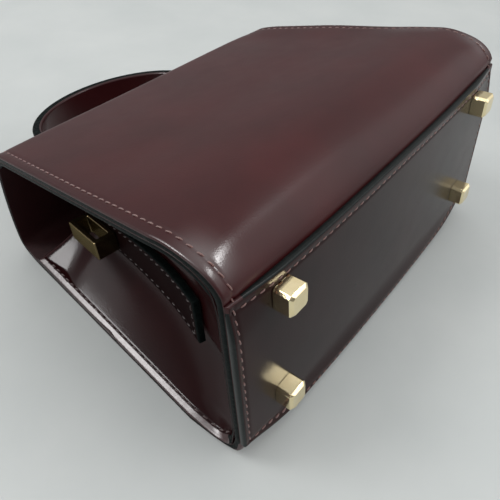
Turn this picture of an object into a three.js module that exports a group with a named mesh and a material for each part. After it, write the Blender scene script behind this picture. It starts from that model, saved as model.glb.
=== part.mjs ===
// A small structured top-handle bag in leather, lying on its front. Millimetres, +Z up.
// The pieces are worked out in the bag's own axes.
// Those are x along the width, y up from the base, and z from front to back.
// The finished bag is then laid down so that its front rests on the plane z = 0.
import * as THREE from "three";
import { RoundedBoxGeometry } from "three/addons/geometries/RoundedBoxGeometry.js";

// Body
const WIDTH = 200;
const TAPER = 0.104;
const TAPER_START = 30;
const BACK = { depth: 49, lean: 0.153 };
const FRONT = { depth: 47, lean: 0.113 };
const LEATHER = 2.3;
const GAP = 0.3;

// Lower bends and base
const BASE_HALF_DEPTH = 36.5;
const BASE_BOW = 10;
const BEND_TOP = 30;
const BEND_SHARE = 0.52;
const BEND_UP = 12;
const BEND_TUCK = 1.5;
const BOTTOM_JOINT = 27.5;

// Sloping top, as its peak near the front and the heights where the walls start to roll into it
const PEAK = { y: 161, z: -23.5 };
const ROLL_BACK = { start: 140, pull: 10, peakPull: 16 };
const ROLL_FRONT = { start: 143, pull: 9, peakPull: 8 };

// Flap and front
const FLAP_END = 80;
const JOG_TOP = 77;
const JOG_LOW = 65;
const FRONT_TOP = 145;

// Gussets
const FLANGE = 5;
const FOLD_DEPTH = 22;
const FOLD_RISE = 30;
const FOLD_FLAT = 0.28;
const FOLD_RIM = 0.9;
const GUSSET_SIDE_TOP = 142;
const GUSSET_MID_TOP = 126;
const GUSSET_STRAIGHT_TOP = 90;
const GUSSET_DIP_POWER = 1.5;
const ROW_ABOVE_BEND = 2;

// Tabs and strap loops
const TAB = { low: 28, top: 113, lowWidth: 22, topWidth: 14, thick: 3 };
const LOOP = { middle: 100, length: 22, reach: 10.4, depth: 9.4, wall: 2.4 };

// Feet
const FOOT = { size: 9.4, height: 7, edge: 0.8, fromEnd: 22.9, z: 25.2 };

// Handle
const HANDLE = {
  halfSpan: 53.4, rise: 48, top: 213.6, width: 20, thick: 5, bend: 6, foot: 15, z: 3, lean: 0.07,
};
const HANDLE_SETTLE = 26;

// Hidden closure
const DISC = { radius: 7, thick: 2, y: 104 };

// Steps along curves and across widths
const CURVE_STEPS = 7;
const ARCH_STEPS = 26;
const PLAIN_STATIONS = 3;
const BOWED_STATIONS = 13;
const GUSSET_COLUMNS = 16;
const GUSSET_STRAIGHT_ROWS = 5;
const GUSSET_TOP_ROWS = 4;
const TAB_ROWS = 12;
const TAB_COLUMNS = 3;
const HANDLE_COLUMNS = 5;
const DISC_SIDES = 24;
const FOOT_EDGE_STEPS = 1;

// Points nearer than this count as one, and corners sharper than this cosine keep a shorter mitre
const SAME_POINT = 0.05;
const MITRE_COSINE = 0.7;

const frontLean = Math.atan(FRONT.lean);
const bottomY = LEATHER + GAP;
const leather = { color: 0x4b2a2e, roughness: 0.32, metalness: 0 };
const edgedLeather = { color: 0x3d2226, roughness: 0.38, metalness: 0 };
const gold = { color: 0xd8bf86, roughness: 0.18, metalness: 1 };

// Half the width of the walls at a height: straight at the base, narrower towards the top
const halfWidth = (y) => WIDTH / 2 - TAPER * Math.max(y - TAPER_START, 0);

// Distance of the straight leaning walls from the middle at a height
const wallDepth = (wall, y) => wall.depth - wall.lean * (y - BEND_TOP);
const backZ = (y) => wallDepth(BACK, y);
const frontZ = (y) => -wallDepth(FRONT, y);

// How far the lower front edge bows forward, most at the middle of the width
const bowAt = (across) => BASE_BOW * (1 - across * across);

const lerp = THREE.MathUtils.lerp;

// Drops points that repeat the one before them
function distinct(points) {
  return points.filter((point, i) => i === 0 || point.distanceTo(points[i - 1]) > SAME_POINT);
}

// Moves an open line to its left by a distance, with mitred corners
function offsetLine(points, distance) {
  const normals = points.slice(1).map((point, i) => {
    const along = point.clone().sub(points[i]).normalize();
    return new THREE.Vector2(-along.y, along.x);
  });
  return points.map((point, i) => {
    const before = normals[Math.max(i - 1, 0)];
    const after = normals[Math.min(i, normals.length - 1)];
    const mitre = before.clone().add(after).normalize();
    return point.clone().addScaledVector(mitre, distance / mitre.dot(after));
  });
}

// Reads the line's x at a height, on a stretch where the height only rises or only falls
function xAtHeight(points, y) {
  for (let i = 1; i < points.length; i += 1) {
    const [a, b] = [points[i - 1], points[i]];
    if ((a.y - y) * (b.y - y) <= 0 && a.y !== b.y) return lerp(a.x, b.x, (y - a.y) / (b.y - a.y));
  }
  return points[points.length - 1].x;
}

// Reads the line's height at an x, on a stretch that only runs one way
function heightAtX(points, x) {
  for (let i = 1; i < points.length; i += 1) {
    const [a, b] = [points[i - 1], points[i]];
    if ((a.x - x) * (b.x - x) <= 0 && a.x !== b.x) return lerp(a.y, b.y, (x - a.x) / (b.x - a.x));
  }
  return points[points.length - 1].y;
}

// Back wall in side view: from under the base, up the back, over the top, down to the flap's end
function backLine() {
  const tuck = BASE_HALF_DEPTH - BEND_TUCK;
  const line = new THREE.Path();
  line.moveTo(BOTTOM_JOINT + GAP, bottomY);
  line.lineTo(tuck, bottomY);
  line.bezierCurveTo(
    lerp(tuck, backZ(bottomY), BEND_SHARE), bottomY,
    backZ(BEND_TOP - BEND_UP), BEND_TOP - BEND_UP,
    backZ(BEND_TOP), BEND_TOP,
  );
  line.lineTo(backZ(ROLL_BACK.start), ROLL_BACK.start);
  line.bezierCurveTo(
    backZ(ROLL_BACK.start + ROLL_BACK.pull), ROLL_BACK.start + ROLL_BACK.pull,
    PEAK.z + ROLL_BACK.peakPull, PEAK.y,
    PEAK.z, PEAK.y,
  );
  line.bezierCurveTo(
    PEAK.z - ROLL_FRONT.peakPull, PEAK.y,
    frontZ(ROLL_FRONT.start + ROLL_FRONT.pull), ROLL_FRONT.start + ROLL_FRONT.pull,
    frontZ(ROLL_FRONT.start), ROLL_FRONT.start,
  );
  line.lineTo(frontZ(FLAP_END), FLAP_END);
  return distinct(line.getPoints(CURVE_STEPS));
}

// Front wall in side view: from its top edge under the flap, down and round to the bottom joint
function frontLine(bow) {
  const under = (LEATHER + GAP) / Math.cos(frontLean);
  const tuck = BEND_TUCK - BASE_HALF_DEPTH - bow;
  const jogMiddle = (JOG_TOP + JOG_LOW) / 2;
  const line = new THREE.Path();
  line.moveTo(frontZ(FRONT_TOP) + under, FRONT_TOP);
  line.lineTo(frontZ(JOG_TOP) + under, JOG_TOP);
  line.bezierCurveTo(
    frontZ(jogMiddle) + under, jogMiddle,
    frontZ(jogMiddle), jogMiddle,
    frontZ(JOG_LOW), JOG_LOW,
  );
  line.lineTo(frontZ(BEND_TOP), BEND_TOP);
  line.bezierCurveTo(
    frontZ(BEND_TOP - BEND_UP), BEND_TOP - BEND_UP,
    lerp(tuck, frontZ(bottomY), BEND_SHARE), bottomY,
    tuck, bottomY,
  );
  line.lineTo(BOTTOM_JOINT, bottomY);
  return distinct(line.getPoints(CURVE_STEPS));
}

// Triangles of a grid of points with the given number of rows and columns
function gridTriangles(rows, columns) {
  const triangles = [];
  for (let i = 0; i + 1 < rows; i += 1) {
    for (let j = 0; j + 1 < columns; j += 1) {
      const a = i * columns + j;
      const c = a + columns;
      triangles.push([a, a + 1, c + 1], [a, c + 1, c]);
    }
  }
  return triangles;
}

const faceNormal = (points, [a, b, c]) =>
  new THREE.Vector3().crossVectors(
    points[b].clone().sub(points[a]),
    points[c].clone().sub(points[a]),
  ).normalize();

// A closed leather wall: a sheet of points, its copy a thickness away, and the rim between them
function thicken(points, triangles, thickness) {
  const touching = points.map(() => []);
  triangles.forEach((corners) => {
    const normal = faceNormal(points, corners);
    corners.forEach((corner) => touching[corner].push(normal));
  });
  const far = points.map((point, i) => {
    const mean = touching[i].reduce((sum, normal) => sum.add(normal), new THREE.Vector3()).normalize();
    const flattest = Math.min(...touching[i].map((normal) => normal.dot(mean)));
    return point.clone().addScaledVector(mean, thickness / Math.max(flattest, MITRE_COSINE));
  });
  const count = points.length;
  const faces = [];
  const edges = new Map();
  triangles.forEach(([a, b, c]) => {
    faces.push([c, b, a], [a + count, b + count, c + count]);
    [[a, b], [b, c], [c, a]].forEach(([p, q]) => {
      if (!edges.delete(`${q},${p}`)) edges.set(`${p},${q}`, [p, q]);
    });
  });
  edges.forEach(([p, q]) => faces.push([p, q, q + count], [p, q + count, p + count]));
  return solidGeometry([...points, ...far], faces);
}

// Geometry from shared points and triangles, turned so that its faces point out
function solidGeometry(points, faces) {
  const volume = faces.reduce((sum, [a, b, c]) =>
    sum + points[a].dot(new THREE.Vector3().crossVectors(points[b], points[c])), 0);
  const geometry = new THREE.BufferGeometry();
  geometry.setAttribute("position", new THREE.Float32BufferAttribute(points.flatMap((p) => p.toArray()), 3));
  geometry.setIndex(faces.flatMap((face) => (volume < 0 ? [...face].reverse() : face)));
  return geometry;
}

// A wall panel: its side-view line carried across the width, narrower where the walls taper
function panel(lineAt, stations) {
  const points = [];
  for (let j = 0; j < stations; j += 1) {
    const across = (2 * j) / (stations - 1) - 1;
    lineAt(across).forEach((point) => {
      points.push(new THREE.Vector3(across * halfWidth(point.y), point.y, point.x));
    });
  }
  return thicken(points, gridTriangles(stations, points.length / stations), LEATHER);
}

// The flat outer leather of the base, with its front edge bowed
function basePanel() {
  const columns = 2;
  const points = [];
  for (let j = 0; j < BOWED_STATIONS; j += 1) {
    const across = (2 * j) / (BOWED_STATIONS - 1) - 1;
    const x = (across * WIDTH) / 2;
    points.push(new THREE.Vector3(x, 0, BASE_HALF_DEPTH));
    points.push(new THREE.Vector3(x, 0, -BASE_HALF_DEPTH - bowAt(across)));
  }
  return thicken(points, gridTriangles(BOWED_STATIONS, columns), -LEATHER);
}

// Where the gusset's sewn edge runs along the walls in side view: inside the back, and inside the front
const seamBack = offsetLine(backLine(), LEATHER + GAP);
const seamFront = offsetLine(frontLine(0), LEATHER + GAP);
const seamBottom = bottomY + LEATHER + GAP;

// How far the middle of the gusset lies in from the side edge at a height
const foldInset = (y) => FLANGE + FOLD_DEPTH * (1 - Math.exp((seamBottom - y) / FOLD_RISE));

// Share of the fold's depth across the gusset: flat at the middle, none at the sewn edges
const foldShare = (across) =>
  1 - THREE.MathUtils.smoothstep(Math.abs(across), FOLD_FLAT, FOLD_RIM);

// Heights of the gusset's rows: along the lower bend, up the straight part, to its dipping top edge
function gussetRows() {
  const onBend = (point) => point.y > seamBottom + SAME_POINT && point.y < BEND_TOP;
  const bend = seamBack.filter(onBend).map((point) => point.y);
  const rows = [seamBottom, ...bend].map((y) => () => y);
  for (let i = 0; i < GUSSET_STRAIGHT_ROWS; i += 1) {
    const y = lerp(BEND_TOP + ROW_ABOVE_BEND, GUSSET_STRAIGHT_TOP, i / (GUSSET_STRAIGHT_ROWS - 1));
    rows.push(() => y);
  }
  for (let i = 1; i <= GUSSET_TOP_ROWS; i += 1) {
    rows.push((across) => {
      const top = lerp(GUSSET_MID_TOP, GUSSET_SIDE_TOP, Math.abs(across) ** GUSSET_DIP_POWER);
      return lerp(GUSSET_STRAIGHT_TOP, top, i / GUSSET_TOP_ROWS);
    });
  }
  return rows;
}

// A side wall: its folded middle, and a sewn edge that turns out along the back, the bottom and the front
function gusset(side) {
  const rows = gussetRows();
  const points = [];
  const place = (inset, y, z) => new THREE.Vector3(side * (halfWidth(y) - inset), y, z);
  rows.forEach((heightAt, i) => {
    for (let j = 0; j < GUSSET_COLUMNS; j += 1) {
      const across = 1 - (2 * j) / (GUSSET_COLUMNS - 1);
      const y = heightAt(across);
      const seamZ = BASE_HALF_DEPTH - BEND_TUCK - LEATHER;
      const zBack = i === 0 ? seamZ : xAtHeight(seamBack, y);
      const zFront = i === 0 ? -seamZ : xAtHeight(seamFront, y);
      const inset = FLANGE + (foldInset(y) - FLANGE) * foldShare(across);
      points.push(place(inset, y, lerp(zFront, zBack, (across + 1) / 2)));
    }
  });
  const triangles = gridTriangles(rows.length, GUSSET_COLUMNS);
  const last = GUSSET_COLUMNS - 1;
  const sewn = [];
  for (let i = rows.length - 1; i >= 0; i -= 1) sewn.push(i * GUSSET_COLUMNS);
  for (let j = 1; j < last; j += 1) sewn.push(j);
  for (let i = 0; i < rows.length; i += 1) sewn.push(i * GUSSET_COLUMNS + last);
  const first = points.length;
  sewn.forEach((index) => points.push(place(0, points[index].y, points[index].z)));
  for (let k = 0; k + 1 < sewn.length; k += 1) {
    triangles.push([sewn[k], first + k, first + k + 1], [sewn[k], first + k + 1, sewn[k + 1]]);
  }
  return { points, triangles };
}

// Line of the gusset's middle as (height, inset), and the same line on the face of the tab
const tabHeight = (i) => lerp(TAB.low, TAB.top, i / (TAB_ROWS - 1));
const heights = Array.from({ length: TAB_ROWS }, (_, i) => tabHeight(i));
const middleLine = heights.map((y) => new THREE.Vector2(y, foldInset(y) - halfWidth(y)));
const tabBackLine = offsetLine(middleLine, -(LEATHER + GAP));
const tabFaceLine = offsetLine(tabBackLine, -TAB.thick);

// A strip sewn on the fold, wider at its square lower end
function gussetTab(side) {
  const points = [];
  tabBackLine.forEach((point) => {
    const width = lerp(TAB.lowWidth, TAB.topWidth, (point.x - TAB.low) / (TAB.top - TAB.low));
    for (let j = 0; j < TAB_COLUMNS; j += 1) {
      points.push(new THREE.Vector3(-side * point.y, point.x, (j / (TAB_COLUMNS - 1) - 0.5) * width));
    }
  });
  return thicken(points, gridTriangles(TAB_ROWS, TAB_COLUMNS), -side * TAB.thick);
}

// A rectangular loop with its slot running front to back, standing on the face of the tab
function strapLoop(side) {
  const outline = new THREE.Shape();
  const slot = new THREE.Path();
  const half = LOOP.length / 2;
  const rectangle = (path, x0, y0, x1, y1) => {
    path.moveTo(x0, y0);
    path.lineTo(x1, y0);
    path.lineTo(x1, y1);
    path.lineTo(x0, y1);
    path.closePath();
  };
  rectangle(outline, 0, -half, LOOP.reach, half);
  rectangle(slot, LOOP.wall, LOOP.wall - half, LOOP.reach - LOOP.wall, half - LOOP.wall);
  outline.holes.push(slot);
  const geometry = new THREE.ExtrudeGeometry(outline, { depth: LOOP.depth, bevelEnabled: false });
  geometry.translate(GAP, 0, -LOOP.depth / 2);
  const inset = heightAtX(tabFaceLine, LOOP.middle);
  const low = heightAtX(tabFaceLine, LOOP.middle - half);
  const high = heightAtX(tabFaceLine, LOOP.middle + half);
  geometry.rotateZ(Math.atan2(high - low, LOOP.length));
  geometry.translate(-inset, LOOP.middle, 0);
  if (side < 0) geometry.rotateY(Math.PI);
  return geometry;
}

// Height of the rolled top at a depth
const roof = backLine().filter((point) => point.y > ROLL_BACK.start);
const roofAt = (z) => heightAtX(roof, z);

// The handle: a flat strap up one leg, over an arch and down the other, with its ends laid on the top
function handle() {
  const fall = roofAt(HANDLE.z - HANDLE.width / 2) - roofAt(HANDLE.z + HANDLE.width / 2);
  const slope = fall / HANDLE.width;
  const footTop = roofAt(HANDLE.z) + (GAP + HANDLE.thick) * Math.hypot(1, slope);
  const legX = HANDLE.halfSpan;
  const archCentre = HANDLE.top - HANDLE.rise - footTop;
  const start = Math.asin((HANDLE.bend - archCentre) / HANDLE.rise);
  const turn = legX * Math.cos(start) + HANDLE.bend;
  const line = new THREE.Path();
  line.moveTo(turn + HANDLE.foot, 0);
  line.lineTo(turn, 0);
  line.absarc(turn, HANDLE.bend, HANDLE.bend, -Math.PI / 2, -Math.PI, true);
  line.absellipse(0, archCentre, legX, HANDLE.rise, start, Math.PI - start, false, 0);
  line.absarc(-turn, HANDLE.bend, HANDLE.bend, 0, -Math.PI / 2, true);
  line.lineTo(-turn - HANDLE.foot, 0);
  const arch = distinct(line.getPoints(ARCH_STEPS));
  const points = [];
  arch.forEach((point) => {
    const settle = 1 - THREE.MathUtils.smoothstep(point.y, 0, HANDLE_SETTLE);
    for (let j = 0; j < HANDLE_COLUMNS; j += 1) {
      const z = HANDLE.z + (j / (HANDLE_COLUMNS - 1) - 0.5) * HANDLE.width;
      const rest = settle * (roofAt(z) - roofAt(HANDLE.z));
      points.push(new THREE.Vector3(point.x, footTop + point.y + rest, z - HANDLE.lean * point.y));
    }
  });
  return thicken(points, gridTriangles(arch.length, HANDLE_COLUMNS), HANDLE.thick);
}

// The closure behind the flap: a plain disc lying on the inside of the front
function closureDisc() {
  const geometry = new THREE.CylinderGeometry(DISC.radius, DISC.radius, DISC.thick, DISC_SIDES);
  const offFront = 2 * (LEATHER + GAP) + DISC.thick / 2;
  geometry.rotateX(Math.PI / 2 + frontLean);
  geometry.translate(0, DISC.y, frontZ(DISC.y) + offFront / Math.cos(frontLean));
  return geometry;
}

const bag = new THREE.Group();

function add(name, geometry, finish) {
  const mesh = new THREE.Mesh(geometry, new THREE.MeshStandardMaterial(finish));
  mesh.name = name;
  bag.add(mesh);
  return mesh;
}

add("back_panel", panel(backLine, PLAIN_STATIONS), leather);
add("front_panel", panel((across) => frontLine(bowAt(across)), BOWED_STATIONS), leather);
add("base_panel", basePanel(), leather);
add("handle", handle(), edgedLeather);
add("closure_disc", closureDisc(), gold);

for (const [name, side] of [["left", -1], ["right", 1]]) {
  const { points, triangles } = gusset(side);
  add(`gusset_${name}`, thicken(points, triangles, side * LEATHER), leather);
  add(`gusset_tab_${name}`, gussetTab(side), edgedLeather);
  add(`strap_loop_${name}`, strapLoop(side), gold);
}

let footNumber = 0;
for (const x of [FOOT.fromEnd - WIDTH / 2, WIDTH / 2 - FOOT.fromEnd]) {
  for (const z of [-FOOT.z, FOOT.z]) {
    footNumber += 1;
    const foot = add(
      `foot_${footNumber}`,
      new RoundedBoxGeometry(FOOT.size, FOOT.height, FOOT.size, FOOT_EDGE_STEPS, FOOT.edge),
      gold,
    );
    foot.position.set(x, -GAP - FOOT.height / 2, z);
  }
}

// Laid on its front, with the middle of its footprint at the origin
bag.rotation.x = -frontLean;
const box = new THREE.Box3().setFromObject(bag, true);
bag.position.set(0, -(box.min.y + box.max.y) / 2, -box.min.z);

const object = new THREE.Group();
object.add(bag);
export default object;
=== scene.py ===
"""A small burgundy top-handle bag lying on its front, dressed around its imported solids."""
import math
from types import SimpleNamespace as Sizes

import bmesh
import bpy
import numpy as np
from mathutils import Matrix, Vector
from mathutils.kdtree import KDTree


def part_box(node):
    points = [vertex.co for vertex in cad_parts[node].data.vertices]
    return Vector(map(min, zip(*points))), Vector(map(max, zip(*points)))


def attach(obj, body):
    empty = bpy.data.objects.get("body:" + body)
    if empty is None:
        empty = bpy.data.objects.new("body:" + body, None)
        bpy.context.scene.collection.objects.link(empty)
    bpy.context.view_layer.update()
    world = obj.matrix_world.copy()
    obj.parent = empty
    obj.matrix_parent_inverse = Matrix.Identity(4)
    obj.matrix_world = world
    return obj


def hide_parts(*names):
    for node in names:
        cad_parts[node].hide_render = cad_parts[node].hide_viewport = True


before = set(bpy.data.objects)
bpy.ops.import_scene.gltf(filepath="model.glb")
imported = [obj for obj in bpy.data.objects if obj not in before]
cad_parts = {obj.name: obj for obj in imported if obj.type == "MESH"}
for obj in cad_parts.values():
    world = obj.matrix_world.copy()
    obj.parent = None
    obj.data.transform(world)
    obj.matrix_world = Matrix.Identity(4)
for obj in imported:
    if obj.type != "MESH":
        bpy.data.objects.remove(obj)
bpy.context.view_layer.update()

# Sizes of the bag in millimetres: x along its width, y up from its base, z from its front to its back
MM = 0.001
WIDTH = 200
TAPER = 0.104
TAPER_START = 30
BACK = Sizes(depth=49, lean=0.153)
FRONT = Sizes(depth=47, lean=0.113)
LEATHER = 2.3
GAP = 0.3
BODY_BOTTOM = LEATHER + GAP
BASE_HALF_DEPTH = 36.5
BASE_BOW = 10
BEND_TOP = 30
BEND_SHARE = 0.52
BEND_UP = 12
BEND_TUCK = 1.5
BOTTOM_JOINT = 27.5
PEAK = Sizes(y=161, z=-23.5)
ROLL_BACK = Sizes(start=140, pull=10, peak_pull=16)
ROLL_FRONT = Sizes(start=143, pull=9, peak_pull=8)
FLAP_END = 80
JOG = Sizes(top=81.4, low=79.8)
FRONT_TOP = 145
FLANGE = 5
FOLD = Sizes(depth=22, rise=30, front_rise=14, front_from=0.1, front_full=0.45, flat=0.28, power=1.5)
GUSSET_TOP = Sizes(side=142, middle=126, straight=90, power=1.5)
TAB = Sizes(low=28, top=113, low_width=22, top_width=14, thick=3)
LOOP = Sizes(middle=100, length=22, reach=10.4, depth=9.4, wall=2.4, soft=0.5)
FOOT = Sizes(size=9.4, height=7, from_end=22.9, z=25.2, seat=0.02, chamfer=1.0, side_chamfer=1.0, soft=0.14)
HANDLE = Sizes(half_span=53.4, rise=48, top=213.6, width=20, thick=5, bend=6, foot=15, z=3, lean=0.07,
               settle=26, round=1.1)

# The skins fill most of the gap between neighbouring solids, so that painted edges meet
GAP_FILL = 0.26
JOINT_FILL = 0.9 * GAP
SKIN = LEATHER + GAP_FILL
EDGE_ROUND = 0.9
SEAM_ROUND = 0.16
EDGE_FACES = 0.95
WEAR_REACH = 5

# Stitches, their distances from the edges and the groove under them
STITCH = Sizes(pitch=4.0, length=3.0, radius=0.3, dive=0.5, dive_power=3, lift=0.14, slant=0.16, taper=0.25,
               sides=7, rings=7, look=0.5)
PANEL_STITCH_IN = 4.2
BASE_STITCH_IN = 3.4
BASE_FRONT_STITCH_IN = 1.9
BASE_END_STITCH_IN = 2.6
TAB_STITCH_IN = 2.2
SEAM_STITCH_IN = 2.8
HANDLE_STITCH_IN = 2.8
GROOVE = Sizes(depth=0.28, half_width=0.8)

# Where grooves and waves fade out towards an edge, on walls and on narrow pieces
WALL_FADE = 2
NARROW_FADE = 1.5

# Camera of the photograph, as a 500 pixel square frame
CAMERA = Sizes(place=(-167.65, -153.37, 198.17), turn=(-2.24530994, 0.45997259, -1.04791966), focal_px=524.44,
               frame_px=500, sensor=36)

# Axes in which the camera was fitted, to bag axes: its y is z, and its z runs down
FIT_TO_BAG = np.array([(1, 0, 0), (0, 0, 1), (0, -1, 0)])

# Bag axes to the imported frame
front_lean = math.atan(FRONT.lean)
lean_cos, lean_sin = math.cos(front_lean), math.sin(front_lean)
base_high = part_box("base_panel")[1].y / MM
shift_y = base_high - LEATHER * lean_cos - BASE_HALF_DEPTH * lean_sin
shift_z = FRONT.depth * lean_cos + BEND_TOP * lean_sin


def points_at(x, y, z):
    """Points from coordinates, each an array or one number for all."""
    return np.stack(np.broadcast_arrays(x, y, z), -1)


def to_row(points):
    """Points in bag axes and millimetres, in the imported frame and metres."""
    x, y, z = np.moveaxis(np.asarray(points, float), -1, 0)
    return points_at(x, y * lean_cos + z * lean_sin + shift_y, z * lean_cos - y * lean_sin + shift_z) * MM


def mix(a, b, t):
    return a + (b - a) * t


def smooth(value, low, high):
    t = np.clip((value - low) / (high - low), 0, 1)
    return t * t * (3 - 2 * t)


def fade(distance, reach):
    """Share that falls from 1 to 0 within a reach."""
    return 1 - smooth(distance, 0, reach)


def half_width(y):
    return WIDTH / 2 - TAPER * np.maximum(y - TAPER_START, 0)


def back_z(y):
    return BACK.depth - BACK.lean * (y - BEND_TOP)


def front_z(y):
    return FRONT.lean * (y - BEND_TOP) - FRONT.depth


def on_back(y):
    return back_z(y), y


def on_front(y, behind=0):
    return front_z(y) + behind, y


def bow_at(across):
    return BASE_BOW * (1 - across * across)


# Lines and grids

CURVE_STEPS = 48


def bezier(a, b, c, d):
    t = np.linspace(0, 1, CURVE_STEPS + 1)[:, None]
    a, b, c, d = (np.array(p, float) for p in (a, b, c, d))
    return (1 - t) ** 3 * a + 3 * (1 - t) ** 2 * t * b + 3 * (1 - t) * t ** 2 * c + t ** 3 * d


def back_line():
    """Back wall in side view as (z, y): from under the base, up the back, over the top, to the flap's end."""
    tuck = BASE_HALF_DEPTH - BEND_TUCK
    bend = bezier(
        (tuck, BODY_BOTTOM),
        (mix(tuck, back_z(BODY_BOTTOM), BEND_SHARE), BODY_BOTTOM),
        on_back(BEND_TOP - BEND_UP),
        on_back(BEND_TOP),
    )
    peak = (PEAK.z, PEAK.y)
    rising = bezier(
        on_back(ROLL_BACK.start),
        on_back(ROLL_BACK.start + ROLL_BACK.pull),
        (PEAK.z + ROLL_BACK.peak_pull, PEAK.y),
        peak,
    )
    falling = bezier(
        peak,
        (PEAK.z - ROLL_FRONT.peak_pull, PEAK.y),
        on_front(ROLL_FRONT.start + ROLL_FRONT.pull),
        on_front(ROLL_FRONT.start),
    )
    start = [(BOTTOM_JOINT + GAP, BODY_BOTTOM)]
    return np.vstack([start, bend, rising, falling[1:], [on_front(FLAP_END)]])


def front_line(bow):
    """Front wall in side view as (z, y): from its top under the flap, down and round to the bottom joint."""
    under = (LEATHER + GAP) / lean_cos
    tuck = BEND_TUCK - BASE_HALF_DEPTH - bow
    jog_middle = (JOG.top + JOG.low) / 2
    jog = bezier(
        on_front(JOG.top, under),
        on_front(jog_middle, under),
        on_front(jog_middle),
        on_front(JOG.low),
    )
    bend = bezier(
        on_front(BEND_TOP),
        on_front(BEND_TOP - BEND_UP),
        (mix(tuck, front_z(BODY_BOTTOM), BEND_SHARE), BODY_BOTTOM),
        (tuck, BODY_BOTTOM),
    )
    end = [(BOTTOM_JOINT + JOINT_FILL, BODY_BOTTOM)]
    return np.vstack([[on_front(FRONT_TOP, under)], jog, bend, end])


def reach_of(line):
    """Distance from the line's start to each of its points."""
    steps = np.linalg.norm(np.diff(line, axis=0), axis=1)
    return np.concatenate([[0], np.cumsum(steps)])


def along(line, distances, values=None):
    """Points of a line at distances from its start, or values that its points have."""
    reach = reach_of(line)
    return np.stack([np.interp(distances, reach, row) for row in (line if values is None else values).T], 1)


def unit(vectors):
    return vectors / np.linalg.norm(vectors, axis=-1)[..., None]


def offset_line(line, distance):
    """The line moved to its left."""
    steps = unit(np.gradient(line, axis=0))
    return line + distance * np.stack([-steps[:, 1], steps[:, 0]], 1)


# Distances from an edge where a leather face has a row of points
EDGE_STEPS = (0, 0.08, 0.2, 0.4, 0.7, 1.1, 1.7, 2.4, 3.0, 3.4, 3.8, 4.2, 4.6, 5.0, 5.6, 6.6, 8.4, 11)


def stations(length, spacing, edge=EDGE_STEPS):
    """Distances along a length, close together by both ends."""
    near = np.array(edge, float)
    near = near[near < length / 2 - spacing / 2]
    inner = length - 2 * near[-1]
    middle = near[-1] + np.linspace(0, inner, max(int(inner / spacing), 1) + 1)
    return np.concatenate([near, middle[1:-1], length - near[::-1]])


def spread(distance, half):
    """x at a distance across the full width; a narrower row keeps its points by the edges in place."""
    edge = EDGE_STEPS[-1]
    middle = (2 * (distance - edge) / (WIDTH - 2 * edge) - 1) * (half - edge)
    left, right = distance - half, half - (WIDTH - distance)
    return np.where(distance <= edge, left, np.where(distance >= WIDTH - edge, right, middle))


def to_ends(distances):
    """Distance of each station to the nearer end."""
    return np.minimum(distances, distances[-1] - distances)


def to_edges(row_inset, column_inset):
    """Distance of each point of a grid to the nearest edge."""
    return np.minimum(row_inset[:, None], column_inset[None, :])


def grid_normals(grid):
    return unit(np.cross(np.gradient(grid, axis=0), np.gradient(grid, axis=1)))


def edge_drop(inset, rounding):
    """How far a face falls away towards a rounded edge."""
    t = np.clip(1 - inset / rounding, 0, 1)
    return rounding * (1 - np.sqrt(1 - t * t))


def groove(inset, at):
    """Shallow channel along a line of stitches."""
    return -GROOVE.depth * np.exp(-(((inset - at) / GROOVE.half_width) ** 2))


# Soft shape: the top sinks at both ends, the far end of the back is lifted and its bend rounder,
# the front's bend is squarer, and the back's bend sags between the ends
END_REACH = 30
TOP_SINK = Sizes(near=0.8, far=5.2, down=0.64, inward=0.77, from_y=134, to_y=156, from_z=-25, to_z=12)
FAR_LIFT = Sizes(out=1.8, from_y=45, full_y=96, fall_y=124, to_y=150)
FAR_BEND = Sizes(up=0.5, inward=0.8, from_y=24, to_y=48, from_z=12, to_z=34)
FRONT_BELLY = Sizes(down=1.2, share=0.42, from_z=36, to_z=42, from_y=16, to_y=30)
BASE_SAG = Sizes(down=3.7, power=3, from_z=24, to_z=33, from_y=4, to_y=34)


def rise(value, sizes, axis):
    """Share from 0 to 1 between a shape's limits along an axis."""
    return smooth(value, getattr(sizes, "from_" + axis), getattr(sizes, "to_" + axis))


def settled(points):
    """Points in bag axes, moved by the softness of the bag."""
    x, y, z = np.moveaxis(points, -1, 0)
    by_end = fade(half_width(y) - np.abs(x), END_REACH) ** 2
    by_far_end = by_end * (x > 0)
    on_top = rise(z, TOP_SINK, "z")
    sink = by_end * np.where(x > 0, TOP_SINK.far, TOP_SINK.near) * rise(y, TOP_SINK, "y")
    far = by_far_end * (1 - rise(y, FAR_BEND, "y")) * rise(z, FAR_BEND, "z")
    lift = by_far_end * on_top * smooth(y, FAR_LIFT.from_y, FAR_LIFT.full_y)
    lift = lift * (1 - smooth(y, FAR_LIFT.fall_y, FAR_LIFT.to_y))
    sag = 1 - np.clip(np.abs(x) * 2 / WIDTH, 0, 1) ** BASE_SAG.power
    sag = sag * rise(z, BASE_SAG, "z") * (1 - rise(y, BASE_SAG, "y"))
    belly = rise(-z, FRONT_BELLY, "z") * (1 - rise(y, FRONT_BELLY, "y"))
    squarer = FRONT_BELLY.share * belly * np.maximum(z - front_z(y), 0)
    moved = points.copy()
    moved[..., 1] += FAR_BEND.up * far - TOP_SINK.down * sink
    moved[..., 2] -= FAR_BEND.inward * far + TOP_SINK.inward * sink * on_top
    moved[..., 1] -= FRONT_BELLY.down * belly
    moved[..., 2] -= squarer + BASE_SAG.down * sag - FAR_LIFT.out * lift
    return moved


# Meshes

# Places of the finishes in a leather piece's list of materials
LEATHER_TONE, PAINT_TONE, FLESH_TONE, RED_TONE = 0, 1, 2, 3


def add_share(mesh, name, values):
    """A share for each point of a mesh, for its materials to read."""
    attribute = mesh.attributes.new(name, "FLOAT", "POINT")
    attribute.data.foreach_set("value", np.asarray(values, np.float32))


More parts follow.
